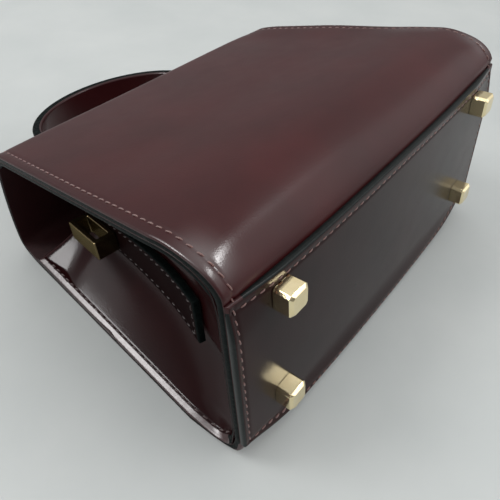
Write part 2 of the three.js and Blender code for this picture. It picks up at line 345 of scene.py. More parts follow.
def make_object(name, points, faces, materials, finish=None, soft=True):
    """A smooth mesh object from points in bag axes; finish is the number of a material for each face."""
    mesh = bpy.data.meshes.new(name)
    placed = settled(points) if soft else points
    mesh.from_pydata(to_row(placed).tolist(), [], [list(face) for face in faces])
    for material in materials:
        mesh.materials.append(material)
    if finish is not None:
        mesh.polygons.foreach_set("material_index", np.asarray(finish, np.int32))
    mesh.shade_smooth()
    mesh.update()
    piece = bpy.data.objects.new(name, mesh)
    bpy.context.scene.collection.objects.link(piece)
    return piece


def dress(piece, slot, *nodes):
    """The piece rides on the bag and stands for the given solids. Its slot is not used."""
    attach(piece, "root")
    if nodes:
        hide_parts(*nodes)


def grid_quads(rows, columns):
    corner = (np.arange(rows - 1)[:, None] * columns + np.arange(columns - 1)).ravel()
    return np.stack([corner, corner + 1, corner + columns + 1, corner + columns], 1)


def open_edges(quads):
    """The edges that only one quad of a sheet has."""
    edges = {}
    for quad in quads.tolist():
        for a, b in zip(quad, quad[1:] + quad[:1]):
            if edges.pop((b, a), None) is None:
                edges[(a, b)] = True
    return list(edges)


def close_sheet(name, outer, inner, quads, inset, materials, turned,
                shoulder=PAINT_TONE, rim_tone=PAINT_TONE, reach=EDGE_FACES):
    """A closed leather piece: its outer and inner faces, and the rim between them.
    The shoulder by the edge, its reach and the rim's tone are given for all points or for each."""
    count = len(outer)
    if turned:
        quads = quads[:, ::-1]
    by_edge = inset[quads].max(1) <= np.broadcast_to(reach, count)[quads[:, 0]]
    shoulder = np.broadcast_to(shoulder, count)[quads[:, 0]]
    rim = np.array([(b, a, a + count, b + count) for a, b in open_edges(quads)])
    faces = np.vstack([quads, quads[:, ::-1] + count, rim])
    finish = np.concatenate([
        np.where(by_edge, shoulder, LEATHER_TONE),
        np.full(len(quads), FLESH_TONE),
        np.broadcast_to(rim_tone, count)[rim[:, 0]],
    ])
    piece = make_object(name, np.vstack([outer, inner]), faces, materials, finish)
    add_share(piece.data, "wear", np.tile(np.exp(-inset / WEAR_REACH), 2))
    return piece


def slab(name, grid, inset, thickness, materials, turned=False, relief=0, outer_round=EDGE_ROUND,
         inner_round=SEAM_ROUND, **tones):
    """A leather piece of a thickness under a grid of points, with rounded edges all round."""
    normal = grid_normals(grid) * (-1 if turned else 1)
    outer = grid + normal * (relief - edge_drop(inset, outer_round))[..., None]
    inner = grid - normal * (thickness - edge_drop(inset, inner_round))[..., None]
    quads = grid_quads(*grid.shape[:2])
    flat = (outer.reshape(-1, 3), inner.reshape(-1, 3))
    tones = {key: np.broadcast_to(value, inset.shape).ravel() for key, value in tones.items()}
    return close_sheet(name, *flat, quads, inset.ravel(), materials, not turned, **tones)


# Slow unevenness of leather: height, lengths along the width and along the wall, and start of each wave
WAVES = ((0.10, 23, 31, 0), (0.08, 41, -19, 1.3))


def waves(grid):
    x, y = grid[..., 0], grid[..., 1] + grid[..., 2]
    return sum(high * np.sin(x / wide + y / tall + start) for high, wide, tall, start in WAVES)


# Materials

# Largest share of the worn tone by an edge, and how much roughness varies over leather and over paint
WORN_SHARE = 0.55
LEATHER_VARIES = 0.06
PAINT_VARIES = 0.08

# Numbers of the colour sockets of a mix node
MIX_A, MIX_B, MIX_RESULT = 6, 7, 2


def fill(tree, node, sockets):
    """Sets sockets by name or number, each to a value or to another node's output."""
    for key, value in sockets.items():
        if isinstance(value, bpy.types.NodeSocket):
            tree.links.new(value, node.inputs[key])
        else:
            node.inputs[key].default_value = value


def add_node(tree, kind, sockets, **settings):
    node = tree.nodes.new("ShaderNode" + kind)
    for name, value in settings.items():
        setattr(node, name, value)
    fill(tree, node, sockets)
    return node


def new_material(name):
    """A material with its node tree, its shader and the place on the object."""
    material = bpy.data.materials.new(name)
    material.use_nodes = True
    tree = material.node_tree
    place = add_node(tree, "TexCoord", {}).outputs["Object"]
    return material, tree, tree.nodes["Principled BSDF"], place


def noise(tree, place, scale, detail, roughness=0.55):
    sockets = {"Vector": place, "Scale": scale, "Detail": detail, "Roughness": roughness}
    return add_node(tree, "TexNoise", sockets).outputs["Fac"]


def share_of(tree, name):
    """A share that a mesh has for each of its points."""
    return add_node(tree, "Attribute", {}, attribute_name=name).outputs["Fac"]


def ramp(tree, factor, stops):
    """Colours along a factor, from (position, colour) stops."""
    node = add_node(tree, "ValToRGB", {"Fac": factor})
    for i, (position, colour) in enumerate(stops):
        stop = node.color_ramp.elements[i] if i < 2 else node.color_ramp.elements.new(position)
        stop.position = position
        stop.color = (*colour, 1)
    return node.outputs["Color"]


def spread_value(tree, factor, low, high):
    """A factor from 0 to 1, as a value from low to high."""
    sockets = {"Value": factor, "To Min": low, "To Max": high}
    return add_node(tree, "MapRange", sockets).outputs["Result"]


def bump(tree, height, strength, distance, below=None):
    sockets = {"Height": height, "Strength": strength, "Distance": distance}
    if below is not None:
        sockets["Normal"] = below
    return add_node(tree, "Bump", sockets).outputs["Normal"]


def leather_material(name, dark, light, worn, roughness, coat=0.4, gloss=0.08, coat_rough=0.2, coat_ior=1.5):
    """Smooth calf with fine grain, slow changes of colour and worn edges.
    With None for its coat, it is coated only where the mesh has a share of polish."""
    material, tree, shader, place = new_material(name)
    body = ramp(tree, noise(tree, place, scale=26, detail=4), [(0.30, dark), (0.72, light)])
    worn_share = spread_value(tree, share_of(tree, "wear"), 0, WORN_SHARE)
    tones = {"Factor": worn_share, MIX_A: body, MIX_B: (*worn, 1)}
    tone = add_node(tree, "Mix", tones, data_type="RGBA").outputs[MIX_RESULT]
    handled = noise(tree, place, scale=90, detail=5)
    cells = add_node(tree, "TexVoronoi", {"Vector": place, "Scale": 1900}, feature="SMOOTH_F1")
    grain = bump(tree, cells.outputs["Distance"], strength=0.3, distance=0.00008)
    creases = noise(tree, place, scale=620, detail=6, roughness=0.6)
    fine = bump(tree, creases, strength=0.13, distance=0.00015, below=grain)
    fill(tree, shader, {
        "Base Color": tone,
        "Roughness": spread_value(tree, handled, roughness - LEATHER_VARIES, roughness + LEATHER_VARIES),
        "Normal": fine,
        "IOR": 1.5,
        "Specular IOR Level": gloss,
        "Coat Weight": share_of(tree, "polish") if coat is None else coat,
        "Coat Roughness": coat_rough,
        "Coat IOR": coat_ior,
        "Coat Normal": fine,
    })
    return material


def paint_material(name, dark, light, roughness, relief, gloss=0.3, scale=420):
    """A finish with two tones and a fine unevenness."""
    material, tree, shader, place = new_material(name)
    clouds = noise(tree, place, scale, detail=6, roughness=0.6)
    fill(tree, shader, {
        "Base Color": ramp(tree, clouds, [(0.32, dark), (0.70, light)]),
        "Roughness": spread_value(tree, clouds, roughness - PAINT_VARIES, roughness + PAINT_VARIES),
        "Normal": bump(tree, clouds, relief, distance=0.0003),
        "Specular IOR Level": gloss,
    })
    return material


def gold_material(name, dark, light, polish, rubbing, glancing=(1, 1, 1)):
    """Gold plating with faint rubbing marks, and a tint for what it mirrors at a glancing angle."""
    material, tree, shader, place = new_material(name)
    rubbed = noise(tree, place, scale=900, detail=4)
    fill(tree, shader, {
        "Base Color": ramp(tree, noise(tree, place, scale=160, detail=5), [(0.30, dark), (0.75, light)]),
        "Roughness": spread_value(tree, rubbed, polish, rubbing),
        "Normal": bump(tree, rubbed, strength=0.02, distance=0.0001),
        "Metallic": 1,
        "Specular Tint": (*glancing, 1),
    })
    return material


def thread_material(name, dark, light, sheen=0.3):
    """Waxed thread with its twist."""
    material, tree, shader, place = new_material(name)
    twist = noise(tree, place, scale=2600, detail=2, roughness=0.5)
    fill(tree, shader, {
        "Base Color": ramp(tree, twist, [(0.3, dark), (0.7, light)]),
        "Roughness": 0.55,
        "Normal": bump(tree, twist, strength=0.4, distance=0.0001),
        "Sheen Weight": sheen,
    })
    return material


calf = leather_material(
    "burgundy_calf", (0.040, 0.0058, 0.0066), (0.060, 0.0090, 0.0098), (0.028, 0.006, 0.007),
    roughness=0.35, coat=None, gloss=0.25, coat_rough=0.21, coat_ior=2.0)
# The side walls' calf is painted darker than the body's: painted shade of the deep recess the walls sit in.
gusset_calf_painted_shade = leather_material(
    "gusset_calf_painted_shade", (0.014, 0.0026, 0.0029), (0.022, 0.0040, 0.0044), (0.014, 0.004, 0.005),
    roughness=0.36, coat=0.27, gloss=0.02, coat_rough=0.14)
strap_calf = leather_material(
    "strap_calf", (0.034, 0.0052, 0.0060), (0.050, 0.0080, 0.0088), (0.022, 0.005, 0.006), roughness=0.36)
# The base's calf is painted darker than the body's: painted shade of the face that turns down towards the
# floor.
base_calf_painted_shade = leather_material(
    "base_calf_painted_shade", (0.012, 0.0052, 0.0056), (0.020, 0.0075, 0.0080), (0.034, 0.010, 0.010),
    roughness=0.3, coat=1.0, gloss=0.02, coat_rough=0.22, coat_ior=1.13)
# The tab's calf is painted near black: painted shade of the fold under the back's overhang.
tab_calf_painted_shade = leather_material(
    "tab_calf_painted_shade", (0.007, 0.0025, 0.0028), (0.012, 0.004, 0.0042), (0.007, 0.003, 0.003),
    roughness=0.5, coat=0.03, gloss=0.01)
DARK_PAINT = (0.004, 0.006, 0.006), (0.009, 0.0125, 0.012)
edge_paint = paint_material("edge_paint", *DARK_PAINT, roughness=0.27, relief=0.15, gloss=0.012)
gloss_paint = paint_material("gloss_paint", *DARK_PAINT, roughness=0.24, relief=0.2, gloss=0.15)
red_edge = paint_material(
    "red_edge", (0.034, 0.010, 0.011), (0.056, 0.018, 0.019), roughness=0.33, relief=0.2, gloss=0.5)
flesh = paint_material(
    "inner_leather", (0.020, 0.0045, 0.005), (0.034, 0.008, 0.009), roughness=0.5, relief=0.3, scale=700)
gold = gold_material("pale_gold", (0.86, 0.71, 0.41), (0.95, 0.83, 0.54), polish=0.06, rubbing=0.18)
# The loops' gold is painted dark, and so is its tint at a glancing angle: painted shade and darkened
# reflection of the fold they hang in.
gold_painted_shade = gold_material(
    "gold_painted_shade", (0.12, 0.092, 0.05), (0.16, 0.122, 0.065),
    polish=0.2, rubbing=0.3, glancing=(0.52, 0.50, 0.44))
thread = thread_material("thread", (0.10, 0.043, 0.038), (0.25, 0.125, 0.11))
# The side seams' thread is painted darker: painted shade of the recess along the seams.
seam_thread_painted_shade = thread_material("seam_thread_painted_shade", (0.035, 0.014, 0.014), (0.085, 0.036, 0.034))
# The tab's thread is painted darker still, with little sheen: painted shade of the fold.
tab_thread_painted_shade = thread_material("tab_thread_painted_shade", (0.014, 0.006, 0.006), (0.036, 0.015, 0.014), sheen=0.08)
CALF = (calf, edge_paint, flesh, red_edge)
GUSSET_SHADED_CALF = (gusset_calf_painted_shade, edge_paint, flesh, red_edge)
BASE_SHADED_CALF = (base_calf_painted_shade, gloss_paint, flesh, calf)
STRAP = (strap_calf, edge_paint, strap_calf)
TAB_SHADED_CALF = (tab_calf_painted_shade, edge_paint, flesh)


# Walls

ROW_SPACING = 1.6
COLUMN_SPACING = 3
WALL_COLUMNS = stations(WIDTH, COLUMN_SPACING)
WALL_INSET = to_ends(WALL_COLUMNS)

# The back is drawn over the base's edge near its ends, and its bend swells between the two end seams
PULL = Sizes(amount=1.3, from_end=30, behind_base=1.2, low=3, up=20)
CROWN = Sizes(amount=1.5, reach=15, power=1.4, low=4, full=14, fade=34, up=80)

# Handling has polished the corners of the bend, most at this inset from the ends
POLISH = Sizes(inset=5, reach=5.4, fade=8, up=26)

# How near to the base's faces a wall counts as running under it
UNDER_BASE = Sizes(past=0.2, above=1)


def wall_grid(line_at):
    """Grid of a wall that runs along a side-view line, with the distances of its rows from its ends."""
    longest = reach_of(line_at(0))[-1]
    rows = stations(longest, ROW_SPACING)
    columns = []
    for distance in WALL_COLUMNS:
        line = line_at(2 * distance / WIDTH - 1)
        z, y = along(line, rows * reach_of(line)[-1] / longest).T
        columns.append(points_at(spread(distance, half_width(y)), y, z))
    return np.stack(columns, 1), to_ends(rows)


WALL_GRIDS = {
    "back": wall_grid(lambda across: back_line()),
    "front": wall_grid(lambda across: front_line(bow_at(across))),
}


def on_crown(y, upward):
    return smooth(y, CROWN.low, CROWN.full) * (1 - smooth(y, upward.fade, upward.up))


def pulled(name, grid):
    """Relief of the back alone: lower corners out beside the base's edge, and the bend's crown."""
    y, z = grid[..., 1], grid[..., 2]
    behind = smooth(z, BASE_HALF_DEPTH, BASE_HALF_DEPTH + PULL.behind_base)
    near_end = fade(WALL_INSET, PULL.from_end)
    out = PULL.amount * near_end * behind * (1 - smooth(y, PULL.low, PULL.up))
    fall = np.clip(1 - WALL_INSET / CROWN.reach, 0, 1) ** CROWN.power
    return (out + CROWN.amount * behind * on_crown(y, CROWN) * (1 - fall)) * (name == "back")


def under_base(grid):
    """True where a wall runs under the base, and its edge is one band with the base's edge."""
    within = np.abs(grid[..., 2]) < BASE_HALF_DEPTH + UNDER_BASE.past
    return within & (grid[..., 1] < BODY_BOTTOM + UNDER_BASE.above)


def wall_skin(name):
    grid, row_inset = WALL_GRIDS[name]
    inset = to_edges(row_inset, WALL_INSET)
    relief = (waves(grid) + groove(WALL_INSET, PANEL_STITCH_IN)) * smooth(inset, 0, WALL_FADE)
    relief = relief + pulled(name, grid)
    rounding = np.where(under_base(grid), SEAM_ROUND, EDGE_ROUND)
    piece = slab(f"{name}_skin", grid, inset, SKIN, CALF, True, relief, rounding, shoulder=LEATHER_TONE)
    if name == "back":
        near_end = np.exp(-((WALL_INSET - POLISH.inset) / POLISH.reach) ** 2)
        polish = on_crown(grid[..., 1], POLISH) * (grid[..., 2] > 0) * near_end
        add_share(piece.data, "polish", np.tile(polish.ravel(), 2))
    dress(piece, "leather", f"{name}_panel")


BASE_END_ROUND = 1.3

# At its two rear corners the base is pressed in, and its edge is calf there instead of paint
CORNER_COVER = Sizes(rows=3, columns=6)
BASE_DIP = Sizes(amount=1.3, from_end=26, from_edge=16)


def base_dip(from_end, from_back):
    """How far the base is pressed in at its two corners by the back."""
    return BASE_DIP.amount * fade(from_end, BASE_DIP.from_end) * fade(from_back, BASE_DIP.from_edge)


def base_skin():
    rows = stations(2 * BASE_HALF_DEPTH, ROW_SPACING)
    x = WALL_COLUMNS - WIDTH / 2
    depth = 2 * BASE_HALF_DEPTH + bow_at(2 * x / WIDTH)
    grid = points_at(x, 0.0, BASE_HALF_DEPTH - (rows / rows[-1])[:, None] * depth)
    row_inset = to_ends(rows)
    inset = to_edges(row_inset, WALL_INSET)
    line_in = np.where(rows < BASE_HALF_DEPTH, BASE_STITCH_IN, BASE_FRONT_STITCH_IN)
    relief = groove(WALL_INSET, BASE_END_STITCH_IN) + groove(row_inset, line_in)[:, None]
    relief = relief * smooth(inset, 0, WALL_FADE) - base_dip(WALL_INSET, rows[:, None])
    rounding = np.where(WALL_INSET <= row_inset[:, None], BASE_END_ROUND, EDGE_ROUND)
    covered = (rows[:, None] < CORNER_COVER.rows) & (WALL_INSET < CORNER_COVER.columns)
    tone = np.where(covered, RED_TONE, PAINT_TONE)
    piece = slab("base_skin", grid, inset, SKIN, BASE_SHADED_CALF, False, relief, rounding,
                 shoulder=tone, rim_tone=tone)
    dress(piece, "leather", "base_panel")


# Side walls

# Rows of points across the turned-out edge, as shares of its width from the outside
FLANGE_STEPS = (0.75, 0.5, 0.3, 0.16, 0.08, 0.03, 0)
FLANGE_IN = 2 * LEATHER + GAP
FLANGE_LOW = BODY_BOTTOM + FLANGE_IN
FLANGE_SPAN = Sizes(low=FLANGE_LOW - 1, high=GUSSET_TOP.side + 6)
FRONT_FLANGE = Sizes(width=3.2, full=-0.98, to=-0.5)
GUSSET_GRID = Sizes(columns=41, crowding=0.92, bend_end=BEND_TOP + 4, bend_rows=9, bend_power=1.6,
                    straight_rows=8)

# Shares of the way up a side wall's last part where it has a row of points
TOP_SHARES = (*np.linspace(0, 0.92, 15)[1:], 0.96, 0.985, 1)

# Along the front the sewn edge slopes to a waxed lip, and by the base it is pared thin
LIP = Sizes(width=2.7, drop=1.15, round=0.8, waxed=2.4, proud=0.12, proud_reach=1, from_y=10)
PARED = Sizes(drop=1.2, reach=6, above=1.5)

# A deeper fold by the back, a buckle near the top, and the middle that tells which way the wall faces
POCKET = Sizes(deep=9, low=18, high=52, start=0.26, full=0.5, end=0.93)
DENT = Sizes(y=125, above=13, below=13, deep=2.4, front=-36, front_fade=8, back=-5, back_fade=12)
MIDDLE_HALF = 8

# Between these heights the front seam runs straight past the flap's end
SEAM_STEP = Sizes(low=50, high=108)


def fold_inset(y, rise_height=FOLD.rise):
    low = BODY_BOTTOM + LEATHER + GAP
    return FLANGE + FOLD.depth * (1 - np.exp((low - y) / rise_height))


def fold_share(across):
    """Share of the fold's depth across the side wall: flat in the middle, leaving the seams at an angle."""
    t = np.clip((np.abs(across) - FOLD.flat) / (1 - FOLD.flat), 0, 1)
    return 1 - t ** FOLD.power


def z_at(line, y):
    """z of a rising or falling side-view line at heights."""
    order = np.argsort(line[:, 1])
    return np.interp(y, line[order, 1], line[order, 0])


def flange_width(across):
    """Width of the turned-out edge that shows, wider along the front."""
    by_front = 1 - smooth(across, FRONT_FLANGE.full, FRONT_FLANGE.to)
    return mix(FLANGE - LEATHER, FRONT_FLANGE.width, by_front)


def pocket(y, across):
    """The deeper fold between the tab and the back."""
    over = smooth(across, POCKET.start, POCKET.full) * (1 - smooth(across, POCKET.full, POCKET.end))
    return POCKET.deep * over * smooth(y, POCKET.low, POCKET.high)


def dent(y, z):
    """A soft cross-wise buckle near the top of the fold's front half."""
    over = smooth(z, DENT.front, DENT.front + DENT.front_fade)
    over = over * (1 - smooth(z, DENT.back - DENT.back_fade, DENT.back))
    above = np.clip((y - DENT.y) / DENT.above, 0, 1)
    return DENT.deep * over * (1 - above) * fade(DENT.y - y, DENT.below)


def flange_lines():
    """The sewn edge's inner face in side view, along the back and along the front."""
    def straight(line):
        return line[(line[:, 1] > FLANGE_SPAN.low) & (line[:, 1] < FLANGE_SPAN.high)]

    back = straight(offset_line(back_line()[1:], FLANGE_IN)[: 2 * CURVE_STEPS])
    front = straight(offset_line(front_line(0)[:-1], FLANGE_IN))
    by_step = (front[:, 1] > SEAM_STEP.low) & (front[:, 1] < SEAM_STEP.high)
    return back, front[~by_step]


def gusset_sheet(side):
    """Points and quads of a side wall's outer face, with its sewn edge turned out along three sides."""
    columns, bend_end, turn = GUSSET_GRID.columns, GUSSET_GRID.bend_end, GUSSET_GRID.crowding
    across = np.sin(np.linspace(1, -1, columns) * math.pi / 2 * turn) / math.sin(math.pi / 2 * turn)
    bend_shares = np.linspace(0, 1, GUSSET_GRID.bend_rows) ** GUSSET_GRID.bend_power
    bend_rows = FLANGE_LOW + (bend_end - FLANGE_LOW) * bend_shares
    straight_rows = np.linspace(bend_end, GUSSET_TOP.straight, GUSSET_GRID.straight_rows)[1:]
    heights = [np.full(columns, y) for y in (*bend_rows, *straight_rows)]
    top = mix(GUSSET_TOP.middle, GUSSET_TOP.side, np.abs(across) ** GUSSET_TOP.power)
    heights += [mix(GUSSET_TOP.straight, top, share) for share in TOP_SHARES]
    back, front = flange_lines()
    bottom_z = np.full(columns, BASE_HALF_DEPTH - BEND_TUCK - FLANGE_IN)
    by_front = smooth(-across, FOLD.front_from, FOLD.front_full)
    rise_height = mix(FOLD.rise, FOLD.front_rise, by_front)
    points = []
    for i, y in enumerate(heights):
        z_back = z_at(back, y) if i else bottom_z
        z_front = z_at(front, y) if i else -bottom_z
        z = mix(z_front, z_back, (across + 1) / 2)
        deep = flange_width(across) + (fold_inset(y, rise_height) - FLANGE) * fold_share(across)
        deep = deep + pocket(y, across) + dent(y, z)
        points.append(points_at(side * (half_width(y) - deep), y, z))
    rows = len(points)
    numbers = np.arange(rows * columns).reshape(rows, columns)
    sewn = np.concatenate([numbers[::-1, 0], numbers[0, 1:-1], numbers[:, -1]])
    quads = grid_quads(rows, columns).tolist()
    x, y, z = np.concatenate(points)[sewn].T
    inner = sewn
    for n, step in enumerate(FLANGE_STEPS):
        points.append(points_at(mix(side * half_width(y), x, step), y, z))
        outer = rows * columns + n * len(sewn) + np.arange(len(sewn))
        quads += np.stack([inner[:-1], outer[:-1], outer[1:], inner[1:]], 1).tolist()
        inner = outer
    return np.concatenate(points), quads


def subdivided(points, quads):
    """Points, quads and normals of a sheet after one smooth subdivision."""
    mesh = bpy.data.meshes.new("sheet")
    mesh.from_pydata(points.tolist(), [], quads)
    holder = bpy.data.objects.new("sheet", mesh)
    bpy.context.scene.collection.objects.link(holder)
    modifier = holder.modifiers.new("smooth", "SUBSURF")
    modifier.levels = 1
    modifier.boundary_smooth = "PRESERVE_CORNERS"
    fine = holder.evaluated_get(bpy.context.evaluated_depsgraph_get()).to_mesh()
    found = np.array([v.co for v in fine.vertices])
    normals = np.array([v.normal for v in fine.vertices])
    faces = np.array([list(p.vertices) for p in fine.polygons])
    bpy.data.objects.remove(holder)
    return found, faces, normals


def border_distance(points, quads):
    """Distance of each point from the sheet's open border."""
    border = sorted({v for edge in open_edges(quads) for v in edge})
    tree = KDTree(len(border))
    for k, v in enumerate(border):
        tree.insert(points[v], k)
    tree.balance()
    return np.array([tree.find(p)[2] for p in points])


def gusset_skin(name, side):
    points, quads, normals = subdivided(*gusset_sheet(side))
    middle = np.abs(points[:, 2]) < MIDDLE_HALF
    outward = np.sign((normals[middle, 0] * side).mean())
    normals = normals * outward
    inset = border_distance(points, quads)
    by_front = (points[:, 2] < 0) & (points[:, 1] > LIP.from_y)
    rounding = np.where(by_front, LIP.round, EDGE_ROUND)
    by_base = ~by_front & (points[:, 1] < FLANGE_LOW + PARED.above)
    slope = np.where(by_front, LIP.drop * fade(inset, LIP.width), 0)
    slope = slope + by_base * PARED.drop * fade(inset, PARED.reach)
    outer = points - normals * (slope + edge_drop(inset, rounding))[:, None]
    inner = points - normals * (LEATHER - edge_drop(inset, SEAM_ROUND))[:, None]
    proud = side * LIP.proud * by_front * fade(inset, LIP.proud_reach)
    outer[:, 0] += proud
    inner[:, 0] += proud
    piece = close_sheet(f"gusset_skin_{name}", outer, inner, quads, inset, GUSSET_SHADED_CALF, outward < 0,
                        shoulder=np.where(by_front, RED_TONE, PAINT_TONE),
                        reach=np.where(by_front, LIP.waxed, EDGE_FACES))
    dress(piece, "leather", f"gusset_{name}")


TAB_GRID = Sizes(line=120, row=2.2, column=1.2, edge=EDGE_STEPS[:9])


def tab_line():
    """The outer face of a side wall's tab as (y, distance out from the middle plane)."""
    y = np.linspace(TAB.low, TAB.top, TAB_GRID.line)
    middle = np.stack([y, half_width(y) - fold_inset(y)], 1)
    return offset_line(middle, LEATHER + GAP + TAB.thick)


def tab_width(y):
    return mix(TAB.low_width, TAB.top_width, (y - TAB.low) / (TAB.top - TAB.low))


def tab_skin(name, side):
    line = tab_line()
    rows = stations(reach_of(line)[-1], TAB_GRID.row)
    y, out = along(line, rows)[..., None].swapaxes(0, 1)
    columns = stations(TAB.low_width, TAB_GRID.column, TAB_GRID.edge)
    grid = points_at(side * out, y, (columns / columns[-1] - 0.5) * tab_width(y))
    inset = to_edges(to_ends(rows), to_ends(columns))
    relief = groove(inset, TAB_STITCH_IN) * smooth(inset, 0, NARROW_FADE)
    piece = slab(f"tab_skin_{name}", grid, inset, TAB.thick, TAB_SHADED_CALF, side < 0, relief)
    dress(piece, "edged_leather", f"gusset_tab_{name}")


# Metal

# Faces larger than this, in square metres, are flat; the softened edges between them are smooth
FLAT_AREA = 2e-6
BEVEL_STEPS = 3


def bevelled(name, metal, soft, build, *place):
    """A metal piece that a function builds in a bmesh, with softened edges."""
    made = bmesh.new()
    build(made, *place)
    bmesh.ops.recalc_face_normals(made, faces=made.faces)
    bmesh.ops.bevel(made, geom=made.edges[:], offset=soft, segments=BEVEL_STEPS, profile=0.5,
                    affect="EDGES", clamp_overlap=True)
    points = np.array([v.co for v in made.verts])
    made.verts.index_update()
    faces = [[v.index for v in face.verts] for face in made.faces]
    made.free()
    piece = make_object(name, points, faces, (metal,), soft=False)
    for polygon in piece.data.polygons:
        polygon.use_smooth = polygon.area < FLAT_AREA
    return piece


def foot_block(made, x, z):
    """A square block with chamfered sides, whose outer end is chamfered all round."""
    half, chamfer = FOOT.size / 2, FOOT.chamfer
    end = -GAP - FOOT.height
    rings = []
    for y, reach in ((-FOOT.seat, half), (end + chamfer, half), (end, half - chamfer)):
        flat = reach - FOOT.side_chamfer
        corners = [(-flat, -reach), (flat, -reach), (reach, -flat), (reach, flat),
                   (flat, reach), (-flat, reach), (-reach, flat), (-reach, -flat)]
        rings.append([made.verts.new((x + a, y, z + b)) for a, b in corners])
    for low, high in zip(rings, rings[1:]):
        for k in range(len(low)):
            n = (k + 1) % len(low)
            made.faces.new((low[k], low[n], high[n], high[k]))
    made.faces.new(rings[0])
    made.faces.new(rings[-1])


def feet():
    x_foot, z_foot = WIDTH / 2 - FOOT.from_end, FOOT.z
    places = [(x, z) for x in (-x_foot, x_foot) for z in (-z_foot, z_foot)]
    for number, (x, z) in enumerate(places, 1):
        piece = bevelled(f"foot_block_{number}", gold, FOOT.soft, foot_block, x, z)
        dress(piece, "gold_metal", f"foot_{number}")


def loop_ring(made, side):
    """A rectangular ring standing on the tab's face, with its slot running front to back."""
    line = tab_line()
    half = LOOP.length / 2
    low, mid, top = (np.interp(LOOP.middle + d, line[:, 0], line[:, 1]) for d in (-half, 0, half))
    tilt = math.atan2(low - top, LOOP.length)
    out = np.array([math.cos(tilt), math.sin(tilt)])
    up = np.array([-math.sin(tilt), math.cos(tilt)])
    start = np.array([mid, LOOP.middle]) + out * GAP
    rings = []
    for z in (-LOOP.depth / 2, LOOP.depth / 2):
        for inner in (0, LOOP.wall):
            ring = []
            near, far, high = inner, LOOP.reach - inner, half - inner
            for a, b in ((near, -high), (far, -high), (far, high), (near, high)):
                x, y = start + out * a + up * b
                ring.append(made.verts.new((side * x, y, z)))
            rings.append(ring)
    front_out, front_in, back_out, back_in = rings
    for k in range(len(front_out)):
        n = (k + 1) % len(front_out)
        made.faces.new((front_out[k], front_out[n], front_in[n], front_in[k]))
        made.faces.new((back_out[k], back_in[k], back_in[n], back_out[n]))
        made.faces.new((front_out[k], back_out[k], back_out[n], front_out[n]))
        made.faces.new((front_in[k], front_in[n], back_in[n], back_in[k]))


def strap_loop(name, side):
    piece = bevelled(f"loop_ring_{name}", gold_painted_shade, LOOP.soft, loop_ring, side)
    dress(piece, "gold_metal", f"strap_loop_{name}")


# Handle

HANDLE_GRID = Sizes(bend_steps=16, arch_steps=120, row=2, column=1.5, edge=EDGE_STEPS[:12])
HANDLE_COLUMNS = stations(HANDLE.width, HANDLE_GRID.column, HANDLE_GRID.edge)


def roof_at(z):
    line = back_line()
    roof = line[line[:, 1] > ROLL_BACK.start]
    order = np.argsort(roof[:, 0])
    return np.interp(z, roof[order, 0], roof[order, 1])


def arc(centre, radius_x, radius_y, start, end, steps):
    t = np.linspace(start, end, steps + 1)
    return np.stack([centre[0] + radius_x * np.cos(t), centre[1] + radius_y * np.sin(t)], 1)


def handle_grid():
    """Grid of the handle's inner face, over its arch from one laid end to the other."""
    half = HANDLE.width / 2
    fall = roof_at(HANDLE.z - half) - roof_at(HANDLE.z + half)
    foot_top = roof_at(HANDLE.z) + (GAP + HANDLE.thick) * math.hypot(1, fall / HANDLE.width)
    centre = HANDLE.top - HANDLE.rise - foot_top
    bend, steps = HANDLE.bend, HANDLE_GRID.bend_steps
    start = math.asin((bend - centre) / HANDLE.rise)
    turn = HANDLE.half_span * math.cos(start) + bend
    arch_steps = HANDLE_GRID.arch_steps
    arch = arc((0, centre), HANDLE.half_span, HANDLE.rise, start, math.pi - start, arch_steps)
    line = np.vstack([
        [(turn + HANDLE.foot, 0)],
        arc((turn, bend), bend, bend, -math.pi / 2, -math.pi, steps),
        arch[1:-1],
        arc((-turn, bend), bend, bend, 0, -math.pi / 2, steps),
        [(-turn - HANDLE.foot, 0)],
    ])
    rows = stations(reach_of(line)[-1], HANDLE_GRID.row)
    x, up = along(line, rows)[..., None].swapaxes(0, 1)
    z = HANDLE.z + HANDLE_COLUMNS - half
    y = foot_top + up + fade(up, HANDLE.settle) * (roof_at(z) - roof_at(HANDLE.z))
    grid = points_at(x, y, z - HANDLE.lean * up)
    return grid, to_edges(to_ends(rows), to_ends(HANDLE_COLUMNS))


def handle_skin():
    grid, inset = handle_grid()
    relief = groove(inset, HANDLE_STITCH_IN) * smooth(inset, 0, NARROW_FADE)
    rounding = HANDLE.round
    piece = slab("handle_skin", grid, inset, HANDLE.thick, STRAP, False, relief, rounding, rounding)
    dress(piece, "edged_leather", "handle")


# Stitches

# Where the lines of stitches begin and end, and how many points they are drawn through
BASE_RUN = Sizes(end_in=1.5, end_points=40, edge_in=2, edge_points=80)
CORNER_STITCH = Sizes(line=((95.9, 3.4, 38.2), (97.2, 1.0, 34.4)), normal=(0, -0.6, 0.8))
SEAM_RUN = Sizes(low=FLANGE_LOW + 3, high=GUSSET_TOP.side - 8, points=90)
TAB_RUN = Sizes(top_in=1, points=60, low_points=20)
HANDLE_RUN = slice(3, -3)


def stitch_faces(rings, sides):
    """Faces of one stitch, a closed tube of rings of points."""
    faces = []
    for r in range(rings - 1):
        for k in range(sides):
            a, b = r * sides + k, r * sides + (k + 1) % sides
            faces.append((a, b, b + sides, a + sides))
    return [*faces, range(sides)[::-1], range((rings - 1) * sides, rings * sides)]


